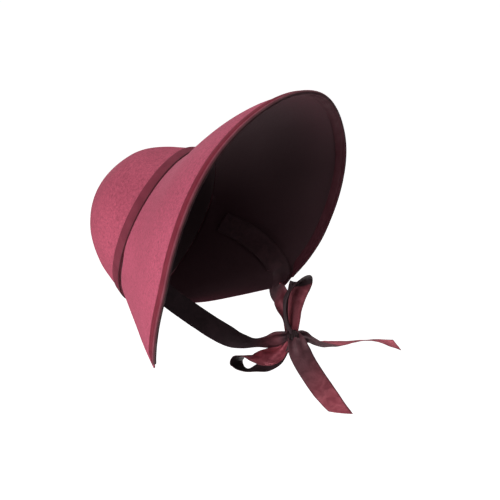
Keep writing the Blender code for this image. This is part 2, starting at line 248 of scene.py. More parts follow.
def sheet_area(grid, ring=False):
    total = 0.0
    rows = grid + [grid[0]] if ring else grid
    for low, high in zip(rows, rows[1:]):
        for i in range(len(low) - 1):
            total += (low[i + 1] - low[i]).cross(high[i] - low[i]).length
    return total


# %% [markdown]
# ## Helpers for finishes
# Every finish here is a Principled shader fed by a few procedural nodes. The same five steps come
# back each time: start a shader, make grain from noise, spread a value over a range, blend two
# colours and lift the surface with bumps. An image texture would need unwrapping; noise doesn't.


# %% Finish helpers
def new_finish(name, roughness, sheen, tint, mirror):
    finish = bpy.data.materials.new(name)
    finish.use_nodes = True
    nodes = finish.node_tree.nodes
    shader = nodes["Principled BSDF"]
    shader.inputs["Roughness"].default_value = roughness
    shader.inputs["Sheen Weight"].default_value = sheen
    shader.inputs["Sheen Roughness"].default_value = 0.45
    shader.inputs["Sheen Tint"].default_value = (*tint, 1.0)
    shader.inputs["Specular IOR Level"].default_value = mirror
    return finish, nodes, finish.node_tree.links, shader


def grain(nodes, links, place, scale, detail=3.0, distortion=0.0):
    node = nodes.new("ShaderNodeTexNoise")
    node.inputs["Scale"].default_value = scale
    node.inputs["Detail"].default_value = detail
    node.inputs["Distortion"].default_value = distortion
    links.new(place, node.inputs["Vector"])
    return node.outputs["Fac"]


def spread(nodes, links, value, low, high, to_low=0.0, to_high=1.0):
    node = nodes.new("ShaderNodeMapRange")
    ends = (("From Min", low), ("From Max", high), ("To Min", to_low), ("To Max", to_high))
    for socket, number in ends:
        node.inputs[socket].default_value = number
    links.new(value, node.inputs["Value"])
    return node.outputs["Result"]


def blend_colours(nodes, links, share, first, second):
    node = nodes.new("ShaderNodeMix")
    node.data_type = "RGBA"
    if isinstance(share, float):
        node.inputs[0].default_value = share
    else:
        links.new(share, node.inputs[0])
    for socket, colour in ((node.inputs[6], first), (node.inputs[7], second)):
        if isinstance(colour, tuple):
            socket.default_value = (*colour, 1.0)
        else:
            links.new(colour, socket)
    return node.outputs[2]


def cloth_value(nodes, word):
    node = nodes.new("ShaderNodeAttribute")
    node.attribute_name = word
    return node.outputs["Fac"]


def lift(nodes, links, shader, heights):
    """Bumps laid one on the other, each from a height, a strength and a depth."""
    normal = None
    for height, strength, depth in heights:
        node = nodes.new("ShaderNodeBump")
        node.inputs["Strength"].default_value = strength
        node.inputs["Distance"].default_value = depth
        links.new(height, node.inputs["Height"])
        if normal:
            links.new(normal, node.inputs["Normal"])
        normal = node.outputs["Normal"]
    links.new(normal, shader.inputs["Normal"])


def scaled(colour, factor):
    return tuple(factor * c for c in colour)


# %% [markdown]
# ## Finish 1: wool felt
# Wool felt has no weave. It is matted hair, so its colour is mottled at about the width of a few
# hairs, cloudy over a hand's breadth, and it glows a little where it turns away. Noise at three
# scales gives the mottle, the clouds and the hairs, and a weak bump lifts the hairs. A few paler
# strands come from the line where a fourth noise crosses its middle. The inner side lies in its
# own shade and is kept darker and greyer.

# %% Wool felt
WOOL_GLOW = (1.0, 0.45, 0.55)
CLOUD_SCALE = 22.0
MOTTLE_SCALE = 360.0
HAIR_SCALE = 2600.0
STRAND_SCALE = 170.0
STRAND_WIDTH = 0.006
FLECK_SHARE = 0.62


def wool_felt(name, deep, light, inside):
    finish, nodes, links, shader = new_finish(name, 0.9, 0.06, WOOL_GLOW, 0.15)
    place = nodes.new("ShaderNodeTexCoord").outputs["Object"]
    clouds = spread(nodes, links, grain(nodes, links, place, CLOUD_SCALE), 0.32, 0.68)
    mottle = spread(nodes, links, grain(nodes, links, place, MOTTLE_SCALE, 4.0, 0.8), 0.28, 0.72)
    hairs = grain(nodes, links, place, HAIR_SCALE, 2.0, 1.5)
    cloudy = blend_colours(nodes, links, clouds, deep, light)
    fleck = blend_colours(nodes, links, mottle, scaled(deep, 0.55), scaled(light, 1.30))
    outside = blend_colours(nodes, links, FLECK_SHARE, cloudy, fleck)
    strand = nodes.new("ShaderNodeMath")
    strand.operation = "COMPARE"
    strand.inputs[1].default_value = 0.5
    strand.inputs[2].default_value = STRAND_WIDTH
    links.new(grain(nodes, links, place, STRAND_SCALE, 1.0, 3.0), strand.inputs[0])
    strands = spread(nodes, links, strand.outputs[0], 0.0, 1.0, 0.0, 0.35)
    outside = blend_colours(nodes, links, strands, outside, scaled(light, 1.7))
    colour = blend_colours(nodes, links, cloth_value(nodes, "inner"), outside, inside)
    links.new(colour, shader.inputs["Base Color"])
    links.new(spread(nodes, links, mottle, 0.0, 1.0, 0.84, 0.96), shader.inputs["Roughness"])
    lift(nodes, links, shader, ((mottle, 0.25, 0.0004), (hairs, 0.30, 0.0002)))
    return finish


brim_wool = wool_felt("brim_wool_felt", deep=(0.272, 0.050, 0.083), light=(0.312, 0.060, 0.099),
                      inside=(0.055, 0.026, 0.031))
crown_wool = wool_felt("crown_wool_felt", deep=(0.250, 0.044, 0.073), light=(0.292, 0.054, 0.088),
                       inside=(0.080, 0.052, 0.056))
print("felt finishes:", brim_wool.name, crown_wool.name)

# %% [markdown]
# ## The crown
# A felt crown is steamed and pulled over a wooden block, so it is one fair bowl with no seam. It
# could be a sphere pressed into shape, but a block has its own profile. So it is made as rings on
# the tilted head opening, from a wall curve of depth and radius. The block is a little flatter on
# top and fuller at the back corners, and the felt has a very small unevenness.

# %% Crown
CROWN_WALL = (
    (0.000, 1.000), (0.043, 0.985), (0.086, 0.969), (0.130, 0.953), (0.270, 0.902), (0.405, 0.845),
    (0.530, 0.770), (0.650, 0.680), (0.760, 0.572), (0.855, 0.445), (0.930, 0.310), (0.980, 0.160),
    (0.996, 0.050),
)
AROUND = 168
CROWN_STEPS = 44
UNEVEN = 0.0005
RIPPLE_SIZE = 0.03
SAG_RETURN = 2.75
FLATTER_TOP = 0.0034
FLAT_TO = 0.75
FULLER_BACK = 0.0010
FULL_LOW = 1.3


def opening_point(angle, share=1.0, depth=0.0):
    """Angle runs from the front of the opening towards the wearer's left ear."""
    return (SIDEWAYS * (HEAD_WIDTH / 2 * share * math.sin(angle))
            + ALONG * (HEAD_DEPTH / 2 * share * math.cos(angle))
            + CROWNWARD * depth)


def sag(depth_share):
    """How far the bowl leans off its axis: up at first, then back down towards the top."""
    return ALONG * (CROWN_SAG * (depth_share - SAG_RETURN * depth_share ** 3))


wall = smooth_path([Vector((depth, radius, 0.0)) for depth, radius in CROWN_WALL], CROWN_STEPS)


def wall_point(angle, mark, inward=0.0):
    """A point of the wall; inward sinks it below the felt's outer face."""
    radius = HEAD_WIDTH / 2
    point = opening_point(angle, mark.y * (1.0 - inward / radius), CROWN_DEPTH * mark.x) + sag(mark.x)
    return point - CROWNWARD * (inward * mark.x)


crown_grid = []
for k in range(AROUND):
    angle = 2 * math.pi * k / AROUND
    column = []
    for mark in wall:
        point = wall_point(angle, mark, FELT / 2)
        flat = max(math.cos(angle), 0.0) ** 2 * math.sin(math.pi * min(mark.x / FLAT_TO, 1.0)) ** 2
        point -= ALONG * (FLATTER_TOP * flat)
        corner = 2 * max(-math.cos(angle), 0.0) * abs(math.sin(angle))
        full = corner * math.sin(math.pi * mark.x ** FULL_LOW)
        point += point.normalized() * (FULLER_BACK * full)
        column.append(point + point.normalized() * ripple(point, RIPPLE_SIZE, UNEVEN * mark.x))
    crown_grid.append(column)
peak = CROWNWARD * (CROWN_DEPTH - FELT / 2) + sag(1.0)
crown_felt = thick_sheet("crown_felt", crown_grid, FELT, crown_wool, ring=True, pole=(peak, CROWNWARD))
print("crown felt area", round(sheet_area(crown_grid, True), 4))

# %% [markdown]
# ## The brim
# The brim is one piece of felt, cut like a wide fan and curved round the opening. It runs in nearly
# straight lines from the opening to the face edge, with a slight outward spring above the brow. The
# face edge and the nape edge are traced as one loop, and every line of the brim ends on it.

# %% Loop of the brim's edge
FACE_EDGE = (
    (0.000, 1.000, 1.000), (0.190, 0.991, 0.990), (0.370, 0.964, 0.965), (0.550, 0.917, 0.935),
    (0.690, 0.857, 0.905), (0.800, 0.783, 0.867), (0.880, 0.705, 0.828), (0.940, 0.620, 0.785),
    (0.975, 0.535, 0.730), (0.985, 0.450, 0.665), (0.983, 0.360, 0.570), (0.965, 0.270, 0.455),
    (0.924, 0.180, 0.330), (0.853, 0.100, 0.180), (0.772, 0.040, 0.030),
)
NAPE_EDGE = (
    (0.718, 0.948, -0.150), (0.650, 0.826, 0.000), (0.488, 0.526, 1.350), (0.325, 0.260, 2.000),
    (0.160, 0.050, 0.900), (0.000, -0.030, -0.300),
)
FINER = 4
FACE_STATIONS = 26 * FINER
NAPE_STATIONS = 9 * FINER


def face_edge_point(w, h, r):
    return at(RIM_HALF_WIDTH * w, lerp(TIP_FORWARD, RIM_TOP_FORWARD, r), lerp(-TIP_DOWN, RIM_TOP_UP, h))


def nape_edge_point(w, r, fall):
    return at(RIM_HALF_WIDTH * w, lerp(NAPE_FORWARD, TIP_FORWARD, r), -lerp(TIP_DOWN, NAPE_DOWN, fall))


whole = [face_edge_point(*row) for row in FACE_EDGE] + [nape_edge_point(*row) for row in NAPE_EDGE]
mirrored = [Vector((-p.x, p.y, p.z)) for p in whole[1:]]
LOOP_STEPS = 1200
edge_half = smooth_path(list(reversed(mirrored)) + whole, LOOP_STEPS)[LOOP_STEPS // 2:]
tip_corner = face_edge_point(*FACE_EDGE[-1])
tip_place = min(range(len(edge_half)), key=lambda k: (edge_half[k] - tip_corner).length)
tip_share = tip_place / (len(edge_half) - 1)


def edge_point(share):
    """A point of the half loop, at a share of its length."""
    place = share * (len(edge_half) - 1)
    k = min(int(place), len(edge_half) - 2)
    return lerp(edge_half[k], edge_half[k + 1], place - k)


rim_half = []
angles = []
for k in range(FACE_STATIONS + 1):
    t = k / FACE_STATIONS
    rim_half.append(edge_point(tip_share * t))
    angles.append(TIP_ANGLE * t)
for k in range(1, NAPE_STATIONS + 1):
    t = k / NAPE_STATIONS
    rim_half.append(edge_point(lerp(tip_share, 1.0, t)))
    angles.append(lerp(TIP_ANGLE, math.pi, t))
rim_half[0].x = 0.0
rim_half[-1].x = 0.0
rim = rim_half + [Vector((-p.x, p.y, p.z)) for p in reversed(rim_half[1:-1])]
turn = angles + [2 * math.pi - a for a in reversed(angles[1:-1])]
stations = len(rim)
print("edge loop of", stations, "stations")

# %% [markdown]
# ## Felt between the opening and the edge
# Each line of the brim runs from its root on the opening to its place on the edge loop. The root
# is turned in under the band, and below the ears the join stands a little open, as on a hat whose
# brim is sewn to its crown. The turned-in felt takes the dark inner colour, as painted shade in
# that open join. The inner felt is mixed a little paler over the brow and at the nape, as painted
# light where light gets into the hollow. A lathed cone would be quicker, but it can't reach
# forward over the face.

# %% Brim
SLIT = 0.0030
SLIT_FROM = math.radians(84.0)
SLIT_TO = math.radians(158.0)
SLIT_OPENS = 0.30
SLIT_CLOSES = 0.25
SPRING_LOW = 1.6
TURNED_DOWN = 0.7 * FELT


def open_share(k):
    """How far the join stands open: not at all in front, fully below the ears."""
    angle = turn[k % stations]
    behind_ear = min(angle, 2 * math.pi - angle)
    opening = fade(behind_ear, SLIT_FROM, SLIT_FROM + SLIT_OPENS)
    return opening * fade(behind_ear, SLIT_TO, SLIT_TO - SLIT_CLOSES)


def brim_frame(k):
    """Root, edge and outward direction of the brim's line at a station."""
    start = opening_point(turn[k % stations], 1.0, -GAP - SLIT * open_share(k))
    end = rim[k % stations]
    tangent = rim[(k + 1) % stations] - rim[(k - 1) % stations]
    out = tangent.cross(end - start).normalized()
    return start, end, out if out.dot(start) > 0 else -out


def brim_point(k, share):
    start, end, out = brim_frame(k)
    spring = BRIM_SPRING * (0.5 + 0.5 * math.cos(turn[k % stations]))
    return lerp(start, end, share) + out * (spring * math.sin(math.pi * share ** SPRING_LOW))


BRIM_STEPS = 46
BRIM_RIPPLE_SIZE = 0.05
BRIM_UNEVEN = 2.4 * UNEVEN
BROW_PAINTED_LIGHT = 0.20
NAPE_PAINTED_LIGHT = 0.20


def painted_light_share(round_share, s):
    """How much painted light pales the inner felt: towards the edge over the brow and at the nape."""
    brow = BROW_PAINTED_LIGHT * fade(s, 0.0, 1.0) * fade(round_share, 0.24, 0.06)
    nape = NAPE_PAINTED_LIGHT * fade(s, 0.4, 1.0) * fade(round_share, 0.38, 0.46)
    return brow + nape


brim_grid = []
for k in range(stations):
    out = brim_frame(k)[2]
    row = []
    for i in range(BRIM_STEPS + 1):
        share = i / BRIM_STEPS
        point = brim_point(k, share)
        calm = math.sin(math.pi * min(share * 1.05, 1.0))
        row.append(point - out * (FELT / 2 - ripple(point, BRIM_RIPPLE_SIZE, BRIM_UNEVEN) * calm))
    inside_crown = opening_point(turn[k], 1.0 - 2 * FELT / HEAD_WIDTH, -GAP - TURNED_DOWN)
    turned_in = lerp(row[0] + (row[0] - row[1]) * 0.1, inside_crown, open_share(k))
    brim_grid.append([turned_in] + row)
# Painted shade and light: the turned-in edge takes the dark inner colour, and the inner side is paled by
# painted light over the brow and at the nape.
brim_felt = thick_sheet("brim_felt", brim_grid, FELT, brim_wool, ring=True, front_side=-1.0,
                        dull_and_shade=lambda t, s: (1.0 if s == -1 else 0.0, 1.0 - painted_light_share(min(t, 1 - t), s)))
print("brim felt area", round(sheet_area(brim_grid, True), 4))

# %% [markdown]
# ## Finish 2: trim ribbon
# The band and the rim binding are a firm, matt trim ribbon with fine ribs across it. The ribs come
# from a wave that follows the ribbon's own length, so they turn with it round the hat. It is a
# deeper colour than the felt. A colour ramp across the ribbon sets the rest, partly the trim's own
# colour and partly painted light and shade: the band is darkest at its two hems, as painted shade
# where it meets the brim and where it rolls in, and the binding is dark on its flat, paler over the
# fold as a painted highlight and darkest just inside as painted shade.


# %% Trim finish
TRIM_CLOUD_SCALE = 60.0
TRIM_GRAIN_SCALE = 1800.0
BETWEEN_RIBS = (0.03, 0.004, 0.007)
TRIM_BACK = (0.05, 0.008, 0.014)


def ribbed_trim(name, rib, places):
    """places are pairs of a distance across the ribbon and the colour there."""
    finish, nodes, links, shader = new_finish(name, 0.8, 0.04, WOOL_GLOW, 0.15)
    place = nodes.new("ShaderNodeTexCoord").outputs["Object"]
    clouds = spread(nodes, links, grain(nodes, links, place, TRIM_CLOUD_SCALE), 0.35, 0.65)
    low, high = places[0][0], places[-1][0]
    ramp = nodes.new("ShaderNodeValToRGB")
    stops = ramp.color_ramp.elements
    for across, _ in places[1:-1]:
        stops.new((across - low) / (high - low))
    for stop, (across, colour) in zip(stops, places):
        stop.position = (across - low) / (high - low)
        stop.color = (*colour, 1.0)
    links.new(spread(nodes, links, cloth_value(nodes, "across"), low, high), ramp.inputs["Fac"])
    threads = nodes.new("ShaderNodeMath")
    threads.operation = "SINE"
    pitch = nodes.new("ShaderNodeMath")
    pitch.operation = "MULTIPLY"
    pitch.inputs[1].default_value = 2 * math.pi / rib
    links.new(cloth_value(nodes, "along"), pitch.inputs[0])
    links.new(pitch.outputs[0], threads.inputs[0])
    ribs = spread(nodes, links, threads.outputs[0], -1.0, 1.0)
    shade = spread(nodes, links, clouds, 0.0, 1.0, 0.0, 0.22)
    body = blend_colours(nodes, links, shade, ramp.outputs["Color"], BETWEEN_RIBS)
    furrows = spread(nodes, links, ribs, 0.0, 1.0, 0.18, 0.0)
    body = blend_colours(nodes, links, furrows, body, BETWEEN_RIBS)
    colour = blend_colours(nodes, links, cloth_value(nodes, "inner"), body, TRIM_BACK)
    links.new(colour, shader.inputs["Base Color"])
    links.new(spread(nodes, links, clouds, 0.0, 1.0, 0.72, 0.88), shader.inputs["Roughness"])
    nap = grain(nodes, links, place, TRIM_GRAIN_SCALE)
    lift(nodes, links, shader, ((ribs, 0.35, 0.0002), (nap, 0.2, 0.0002)))
    return finish


# Painted shade: the band's ramp is darkest at its two hems, where it meets the brim and where it rolls
# in.
band_trim = ribbed_trim("band_trim_ribbon", 0.0009, (
    (-0.0064, (0.045, 0.009, 0.014)),
    (-0.0056, (0.070, 0.012, 0.020)),
    (-0.0048, (0.122, 0.017, 0.031)),
    (0.0052, (0.140, 0.020, 0.036)),
    (0.0064, (0.100, 0.012, 0.022)),
))
print("trim finish:", band_trim.name)

# %% [markdown]
# ## The hat band
# The band hides the join of crown and brim. It is a flat strip that follows the crown's wall, so it
# is laid out from the same wall curve, just outside the felt, and its two edges roll in a little.

# %% Hat band
BAND_THICK = 0.0010
BAND_TOP = 0.130
BAND_STEPS = 12
BAND_LEAN = 0.3
BAND_ROLL = 0.0004


def wall_at(depth):
    """The wall's mark at a share of the crown's depth."""
    for low, high in zip(wall, wall[1:]):
        if high.x >= depth:
            return lerp(low, high, (depth - low.x) / (high.x - low.x))
    return wall[-1]


def band_point(angle, share):
    mark = wall_at(BAND_TOP * share)
    here = opening_point(angle, mark.y, CROWN_DEPTH * mark.x) + sag(mark.x)
    out = SIDEWAYS * math.sin(angle) + ALONG * math.cos(angle) + CROWNWARD * BAND_LEAN
    roll = BAND_ROLL * (abs(2 * share - 1) ** 6)
    return here + out.normalized() * (GAP + BAND_THICK / 2 - roll)


band_grid = [[band_point(2 * math.pi * k / AROUND, i / BAND_STEPS) for i in range(BAND_STEPS + 1)]
             for k in range(AROUND)]
band_ribbon = thick_sheet("band_ribbon", band_grid, BAND_THICK, band_trim, ring=True)
print("band area", round(sheet_area(band_grid, True), 4))

# %% [markdown]
# ## The rim binding
# A strip is folded over the raw face edge and stitched through near its hem. Across the fold it
# is a U: flat on the outside, round over the edge, flat inside. The stitching pulls a groove into it
# and leaves a low bead between the groove and the hem. Towards its two ends the strip is drawn in
# to a point at the tips of the brim.

# %% Rim binding
BINDING_WIDTH = 0.0105
BINDING_THICK = 0.0008
STITCH_SHARE = 0.80
BEAD_HEIGHT = 0.0006
BEAD_RATE = 1.15
GROOVE_DEPTH = 0.0009
GROOVE_WIDTH = 0.055
TAPER_STATIONS = 6
TAPERED = 0.12
FOLD_REACH = 0.8
FLAT_STEPS = 14
FOLD_STEPS = 8
# Partly the trim's colour, partly painted light and shade: paler where the binding turns over the fold
# as a painted highlight, dark on the fold's crest and darkest just inside as painted shade.
binding_trim = ribbed_trim("binding_trim_ribbon", 0.0008, (
    (-0.0142, (0.110, 0.010, 0.019)),
    (-0.0130, (0.142, 0.013, 0.026)),
    (-0.0046, (0.132, 0.012, 0.024)),
    (-0.0038, (0.165, 0.034, 0.050)),
    (-0.0022, (0.160, 0.035, 0.050)),
    (-0.0012, (0.075, 0.018, 0.026)),
    (-0.0002, (0.085, 0.030, 0.034)),
    (0.0006, (0.030, 0.010, 0.013)),
    (0.0018, (0.034, 0.010, 0.014)),
    (0.0030, (0.082, 0.018, 0.027)),
    (0.0142, (0.070, 0.016, 0.024)),
))


def bead(share):
    """Height of the strip over its flat, from the hem at 0 to the fold at 1."""
    groove = math.exp(-((share - STITCH_SHARE) / GROOVE_WIDTH) ** 2)
    return BEAD_HEIGHT * math.sin(math.pi * min(share * BEAD_RATE, 1.0)) - GROOVE_DEPTH * groove


def binding_row(k):
    start, edge, _ = brim_frame(k)
    over = (edge - start).normalized()
    tangent = rim[(k + 1) % stations] - rim[(k - 1) % stations]
    out = tangent.cross(over).normalized()
    if out.dot(edge) < 0:
        out = -out
    taper = lerp(TAPERED, 1.0, fade(FACE_STATIONS - abs(k), 0, TAPER_STATIONS))
    width = BINDING_WIDTH * taper
    inner = brim_point(k % stations, 1.0 - width / (edge - start).length)
    near = GAP + BINDING_THICK
    row = []
    for i in range(FLAT_STEPS):
        share = i / FLAT_STEPS
        row.append(lerp(inner, edge, share) + out * (near + bead(share) * taper))
    middle = edge - out * (FELT / 2)
    reach = FELT / 2 + near
    for i in range(FOLD_STEPS + 1):
        angle = math.pi * i / FOLD_STEPS
        outward = reach * math.cos(angle)
        onward = reach * FOLD_REACH * math.sin(angle)
        row.append(middle + out * outward + over * onward)
    for i in range(1, FLAT_STEPS + 1):
        share = 1 - i / FLAT_STEPS
        row.append(lerp(inner, edge, share) - out * (FELT + near + bead(share) * taper))
    return row


binding_grid = [binding_row(k) for k in range(-FACE_STATIONS, FACE_STATIONS + 1)]
binding_cloth = thick_sheet("binding_cloth", binding_grid, BINDING_THICK, binding_trim, front_side=-1.0)
print("binding area", round(sheet_area(binding_grid), 4))

# %% [markdown]
# ## Finish 3: single-faced satin ribbon
# The ribbon is satin on one face and dull on the other. The satin face has a tinted shine, which a
# partly metallic red gives, because its shine takes the cloth's colour. The dull face is a dark
# plain weave. The sheet's own front and back choose between the two, and marks along some lengths
# mix them as painted light and shade: satin marked dull where the ribbon lies in shade, and a
# little satin let into the dull face where light catches it. Very fine ribs across the ribbon and
# a soft crumple keep the shine from looking like plastic. The knot lies in the shade of its own
# folds, so its ribbon is mixed darker as painted shade.


# %% Satin finish
SATIN_CLOUD_SCALE = 90.0
CRUMPLE_SCALE = 170.0
THREAD_SCALES = (3000.0, 260.0, 1.0)
SELVEDGE_FROM = 0.0108
SELVEDGE_TO = 0.0120
SHINE = 0.45


def satin_ribbon(name, deep, light, dull_and_shade):
    finish, nodes, links, shader = new_finish(name, 0.4, 0.03, (1.0, 0.5, 0.55), 0.25)
    place = nodes.new("ShaderNodeTexCoord").outputs["Object"]
    back_face = cloth_value(nodes, "inner")
    clouds = spread(nodes, links, grain(nodes, links, place, SATIN_CLOUD_SCALE, 3.0, 0.8), 0.35, 0.65)
    crumple = grain(nodes, links, place, CRUMPLE_SCALE, 2.0, 0.5)
    joined = nodes.new("ShaderNodeCombineXYZ")
    links.new(cloth_value(nodes, "along"), joined.inputs[0])
    links.new(cloth_value(nodes, "across"), joined.inputs[1])
    stretch = nodes.new("ShaderNodeVectorMath")
    stretch.operation = "MULTIPLY"
    stretch.inputs[1].default_value = THREAD_SCALES
    links.new(joined.outputs[0], stretch.inputs[0])
    threads = grain(nodes, links, stretch.outputs[0], 1.0, 1.0)
    colour = blend_colours(nodes, links, clouds, deep, light)
    furrows = spread(nodes, links, threads, 0.3, 0.7, 0.30, 0.0)
    colour = blend_colours(nodes, links, furrows, colour, scaled(deep, 0.5))
    back_colour = blend_colours(nodes, links, clouds, scaled(dull_and_shade, 0.7), dull_and_shade)
    side = nodes.new("ShaderNodeMath")
    side.operation = "ABSOLUTE"
    links.new(cloth_value(nodes, "across"), side.inputs[0])
    selvedge = spread(nodes, links, side.outputs[0], SELVEDGE_FROM, SELVEDGE_TO, 0.0, 0.6)
    colour = blend_colours(nodes, links, selvedge, colour, scaled(deep, 0.35))
    colour = blend_colours(nodes, links, back_face, colour, back_colour)
    links.new(colour, shader.inputs["Base Color"])
    links.new(spread(nodes, links, back_face, 0.0, 1.0, SHINE, 0.0), shader.inputs["Metallic"])
    links.new(spread(nodes, links, back_face, 0.0, 1.0, 0.50, 0.66), shader.inputs["Roughness"])
    lift(nodes, links, shader, ((crumple, 0.30, 0.0012), (threads, 0.12, 0.0001)))
    return finish


satin = satin_ribbon("burgundy_satin_ribbon", deep=(0.290, 0.055, 0.076),
                     light=(0.470, 0.110, 0.140), dull_and_shade=(0.042, 0.021, 0.026))
satin_in_shade = satin_ribbon("burgundy_satin_knot", deep=(0.060, 0.014, 0.019),
                              light=(0.100, 0.026, 0.032), dull_and_shade=(0.008, 0.006, 0.007))
print("satin finishes:", satin.name, satin_in_shade.name)

# %% [markdown]
# ## Ribbon maker
# A ribbon keeps its width, so it is laid along a curve with a direction across it. Where it is
# squeezed towards the knot, the width that has no room goes into lengthwise pleats, and their
# depth follows from how much it is squeezed. Stations are set round the knot in three directions
# that suit the bow: to the side, up, and to the front. A cloth simulation would let the bow sag
# its own way, while these stations hold it as it was tied.

# %% Bow sizes and ribbon maker
KNOT = at(0.060, 0.131, -0.128)
KNOT_RADIUS = 0.0085
LOOP_LENGTH = 0.065
HANGING_TAIL = 0.100
SIDE_TAIL = 0.125
TIE_REACH = 0.130
TIE_LIFT = 0.0019
RIBBON_THICK = 0.0004
BOW_SIDE = at(0.574, 0.819, 0.0)
BOW_UP = at(0.359, -0.251, 0.899)
BOW_FRONT = at(-0.736, 0.516, 0.438)
ACROSS = 20
DRAWN_IN = 0.45
PLEAT_SHARE = 0.8
CRUMPLE_SIZE = 0.012


def bow_lie(side, up, front):
    return BOW_SIDE * side + BOW_UP * up + BOW_FRONT * front


def bow_stations(length, rows):
    """Rows give place and lie as side, up, front from the knot, then gather and any cup."""
    return [(KNOT + bow_lie(*row[:3]) * length, bow_lie(*row[3:6]).normalized(), *(row + (0.0,))[6:8])
            for row in rows]


def tucked(marks, *ends):
    """The same stations, with the ends that are named drawn into the knot."""
    marks = list(marks)
    for k in ends:
        place, *rest = marks[k]
        marks[k] = (KNOT + (place - KNOT) * DRAWN_IN, *rest)
    return marks


def pleat_depth(gather, pleats):
    """How deep the pleats are that take up the width a gather leaves over."""
    squeeze = max(1.0 / gather ** 2 - 1.0, 0.0)
    return RIBBON_WIDTH * gather / (2 * math.pi * pleats) * math.sqrt(2 * squeeze)


def ribbon_grid(marks, steps, cut=0.0, pleats=2.0, crumple=0.0006, seed=0.0):
    """Rows of points along the stations; cut slants the far end by a share of the width."""
    centres, lies, gathers, cups = [list(column) for column in zip(*marks)]
    places, length = even_steps(centres, steps, 24)
    last = len(marks) - 1
    grid = []
    for j, t in enumerate(places):
        here = curve(centres, t)
        step = (curve(centres, min(t + 0.02, last)) - curve(centres, max(t - 0.02, 0.0))).normalized()
        lie = curve(lies, t)
        lie = (lie - step * lie.dot(step)).normalized()
        face = step.cross(lie)
        gather = min(curve(gathers, t), 1.0)
        depth = PLEAT_SHARE * pleat_depth(gather, pleats)
        slant = RIBBON_WIDTH * cut * (j / steps) ** 6
        row = []
        for i in range(ACROSS + 1):
            s = 2 * i / ACROSS - 1
            rise = RIBBON_WIDTH * curve(cups, t) * (1 - s * s)
            rise += depth * math.cos(math.pi * pleats * s)
            spot = Vector((length * j / steps, RIBBON_WIDTH / 2 * s, seed))
            rise += ripple(spot, CRUMPLE_SIZE, crumple)
            row.append(here + lie * (RIBBON_WIDTH / 2 * gather * s) + face * rise + step * (slant * s))
        grid.append(row)
    return grid, length


def make_ribbon(name, marks, steps, front_side=1.0, dull_and_shade=None, **more):
    grid, length = ribbon_grid(marks, steps, **more)
    obj = thick_sheet(name, grid, RIBBON_THICK, satin, front_side=front_side, dull_and_shade=dull_and_shade)
    print(name, "length", round(length, 4), "area", round(sheet_area(grid), 5))
    return obj, length


print("the deepest pleats are", round(PLEAT_SHARE * pleat_depth(0.42, 1.5) * 1000, 1), "mm deep")

# %% [markdown]
# ## The two ties
# Each tie is sewn inside the brim near an ear. The far one lies down the inside of the brim and
# comes out past its corner. The near one sags free to the knot, turning its edge as it goes. It
# shows its dull face, with a little satin let in near the knot as painted light. The far one is
# marked nearly all dull where it lies inside the brim, as painted shade, and half satin once it
# comes out.


# %% Ties
NEARBY_PLACE = 0.3
NEARBY_SHARE = 0.03


def felt_stations(side, marks):
    """Stations just inside the felt from place, share and lift; side is 1 or -1."""
    def on(place, share):
        k = int(place * FINER)
        p = lerp(brim_point(k, share), brim_point(k + 1, share), place * FINER - k)
        return Vector((p.x * side, p.y, p.z))

    spots = []
    for place, share, lift_off in marks:
        here = on(place, share)
        along_edge = on(place + NEARBY_PLACE, share) - on(place - NEARBY_PLACE, share)
        to_edge = on(place, share + NEARBY_SHARE) - on(place, share - NEARBY_SHARE)
        out = along_edge.cross(to_edge).normalized()
        if out.dot(here) < 0:
            out = -out
        spots.append((here - out * (FELT + lift_off), out))
    rows = []
    for k, (here, out) in enumerate(spots):
        step = spots[min(k + 1, len(spots) - 1)][0] - spots[max(k - 1, 0)][0]
        lie = step.cross(out).normalized()
        before = rows[-1][1] if rows else Vector((0.0, 0.0, 1.0))
        rows.append((here, lie if lie.dot(before) > 0 else -lie, 1.0, 0.0))
    return rows


far_marks = tucked(felt_stations(1, (
    (21.7, 0.12, TIE_LIFT),
    (22.8, 0.34, TIE_LIFT),
    (24.2, 0.60, TIE_LIFT),
    (25.6, 0.83, TIE_LIFT),
)) + bow_stations(TIE_REACH, (
    (-0.150, 0.430, -0.478, 0.53, 0.33, 0.78, 1.00),
    (-0.112, 0.362, -0.395, 0.58, 0.38, 0.72, 1.00),
    (-0.080, 0.290, -0.300, 0.72, 0.40, 0.55, 0.90),
    (-0.030, 0.190, -0.170, 0.80, 0.35, 0.40, 0.75),
    (-0.055, 0.085, -0.060, 0.85, 0.30, 0.30, 0.45),
)), -1)
# Painted shade: the far tie is marked nearly all dull inside the brim and half dull once it comes out.
far_tie, far_length = make_ribbon(
    "far_tie_ribbon", far_marks, 120, -1.0, pleats=1.5, seed=0.3,
    dull_and_shade=lambda t, s: (0.0, 0.95 - 0.49 * fade(t, 0.60, 0.70)))

near_marks = tucked(felt_stations(-1, (
    (21.7, 0.10, TIE_LIFT * 0.7),
)) + [
    (at(-0.0620, 0.0140, -0.0415), at(0.55, -0.10, 0.80), 1.0, 0.0),
] + bow_stations(TIE_REACH, (
    (-1.000, 0.288, 0.346, 0.50, 0.80, -0.33, 1.00),
    (-0.835, 0.172, 0.243, 0.50, 0.82, -0.30, 1.00),
    (-0.670, 0.064, 0.138, 0.45, 0.85, -0.30, 1.00),
    (-0.548, 0.000, 0.069, 0.35, 0.80, -0.45, 1.00),
    (-0.435, -0.034, 0.023, 0.15, 0.60, -0.77, 1.00),
    (-0.322, -0.052, -0.008, 0.05, 0.38, -0.90, 1.00),
    (-0.226, -0.048, -0.023, 0.05, 0.54, -0.80, 0.95),
    (-0.140, -0.021, -0.023, 0.10, 0.80, -0.52, 0.82),
    (-0.078, 0.010, -0.030, -0.32, 0.81, -0.49, 0.50),
)), -1)
# Painted light: near the knot a little satin is let into the near tie's dull face.
near_tie, near_length = make_ribbon(
    "near_tie_ribbon", near_marks, 140, -1.0, pleats=1.5, seed=1.3,
    dull_and_shade=lambda t, s: (0.0, 1.0 - 0.3 * fade(t, 0.80, 0.92) * fade(t, 0.99, 0.94)))
